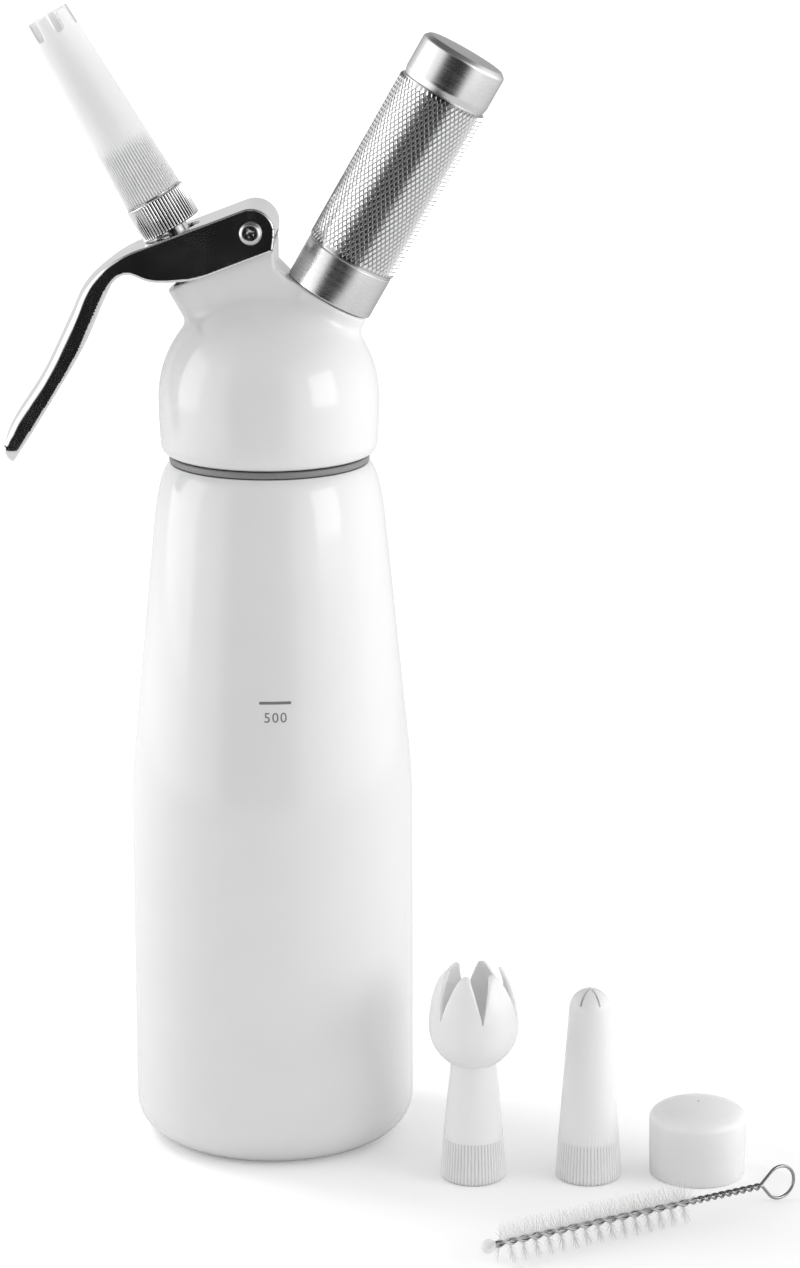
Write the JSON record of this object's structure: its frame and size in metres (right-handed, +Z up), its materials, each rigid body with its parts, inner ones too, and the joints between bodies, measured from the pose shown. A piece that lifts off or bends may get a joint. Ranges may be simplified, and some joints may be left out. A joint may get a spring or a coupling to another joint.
{
  "type": "whipped cream dispenser",
  "caption": "White bottle with a screwed dome head, a side lever that opens a leaning nozzle, a knurled gas charger holder, spare tips, a cap and a cleaning brush.",
  "frame": {"origin": "where the bottle's axis meets the table, on the bottle's flat underside", "axes": "+Z up along the bottle's axis; +X to the side that the charger holder leans to; -X to the lever's handle and the nozzle; -Y to the side with the fill mark"},
  "size_m": [0.2096, 0.1412, 0.307],
  "materials": {
    "white_enamel": "gloss",
    "grey_silicone": "satin",
    "chrome": "polished",
    "aluminium": "satin",
    "steel": "satin",
    "spring_steel": "satin",
    "brass": "satin",
    "black_rubber": "matte",
    "frosted_plastic": "satin",
    "white_plastic": "satin",
    "nylon": "satin"
  },
  "bodies": {
    "bottle": {"bottle": "white_enamel"},
    "gasket_ring": {"head_gasket": "grey_silicone"},
    "dispensing_head": {"head": "white_enamel", "pivot_sleeve": "steel", "pivot_screw": "steel", "pivot_nut": "steel", "valve_spring": "spring_steel", "piercing_valve_body": "brass", "piercing_valve_o_ring": "black_rubber", "piercing_pin": "steel", "charger_gasket": "black_rubber"},
    "hand_lever": {"lever": "chrome"},
    "valve_piston": {"dispensing_piston": "steel", "valve_seal": "black_rubber", "piston_o_ring": "black_rubber", "spring_cap": "steel", "retaining_clip": "spring_steel"},
    "seal_ring": {"adapter_seal": "black_rubber"},
    "adapter": {"nozzle_adapter": "chrome"},
    "fitted_tip": {"crown_tip": "frosted_plastic"},
    "charger": {"gas_charger": "steel"},
    "holder": {"charger_holder": "aluminium"},
    "spare_tulip_tip": {"tulip_tip": "white_plastic"},
    "spare_straight_tip": {"straight_tip": "white_plastic"},
    "loose_cap": {"protective_cap": "white_plastic"},
    "cleaning_brush": {"brush_wire": "steel", "brush_bristles": "nylon", "brush_bead": "nylon"}
  },
  "joints": [
    {"name": "head_lift", "type": "slide", "parent": "bottle", "child": "gasket_ring", "axis": [0, 0, 1], "range_m": [0, 0.006]},
    {"name": "head_turn", "type": "hinge", "parent": "gasket_ring", "child": "dispensing_head", "pos_m": [0, 0, 0.19], "axis": [0, 0, 1], "range_deg": [0, 540]},
    {"name": "lever_hinge", "type": "hinge", "parent": "dispensing_head", "child": "hand_lever", "pos_m": [-0.0037, 0, 0.249], "axis": [0, -1, 0], "range_deg": [0, 12]},
    {"name": "valve_stroke", "type": "slide", "parent": "dispensing_head", "child": "valve_piston", "axis": [0.5, 0, -0.866], "range_m": [0, 0.0039], "stiffness_N_per_m": 1200, "springref_m": -0.008, "deforming": ["valve_spring"]},
    {"name": "adapter_lift", "type": "slide", "parent": "valve_piston", "child": "seal_ring", "axis": [-0.5, 0, 0.866], "range_m": [0, 0.0051]},
    {"name": "adapter_turn", "type": "hinge", "parent": "seal_ring", "child": "adapter", "pos_m": [-0.0256, 0, 0.24994], "axis": [-0.5, 0, 0.866], "range_deg": [0, 1800]},
    {"name": "tip_lift", "type": "slide", "parent": "adapter", "child": "fitted_tip", "axis": [-0.5, 0, 0.866], "range_m": [0, 0.012]},
    {"name": "holder_lift", "type": "slide", "parent": "dispensing_head", "child": "charger", "axis": [0.4939, 0, 0.8695], "range_m": [0, 0.0121]},
    {"name": "holder_turn", "type": "hinge", "parent": "charger", "child": "holder", "pos_m": [0.01605, 0, 0.23111], "axis": [0.4939, 0, 0.8695], "range_deg": [0, 2160]},
    {"name": "tulip_tip_lift", "type": "slide", "parent": "bottle", "child": "spare_tulip_tip", "axis": [0, 0, 1], "range_m": [0, 0.12]},
    {"name": "straight_tip_lift", "type": "slide", "parent": "bottle", "child": "spare_straight_tip", "axis": [0, 0, 1], "range_m": [0, 0.12]},
    {"name": "cap_lift", "type": "slide", "parent": "bottle", "child": "loose_cap", "axis": [0, 0, 1], "range_m": [0, 0.12]},
    {"name": "brush_lift", "type": "slide", "parent": "bottle", "child": "cleaning_brush", "axis": [0, 0, 1], "range_m": [0, 0.12]}
  ],
  "couplings": [
    {"joint": "head_turn", "follows": "head_lift", "rad_per_m": 1570.8},
    {"joint": "valve_stroke", "follows": "lever_hinge", "m_per_rad": 0.0185},
    {"joint": "adapter_lift", "follows": "adapter_turn", "m_per_rad": 0.00015915},
    {"joint": "holder_lift", "follows": "holder_turn", "m_per_rad": 0.00031831}
  ]
}
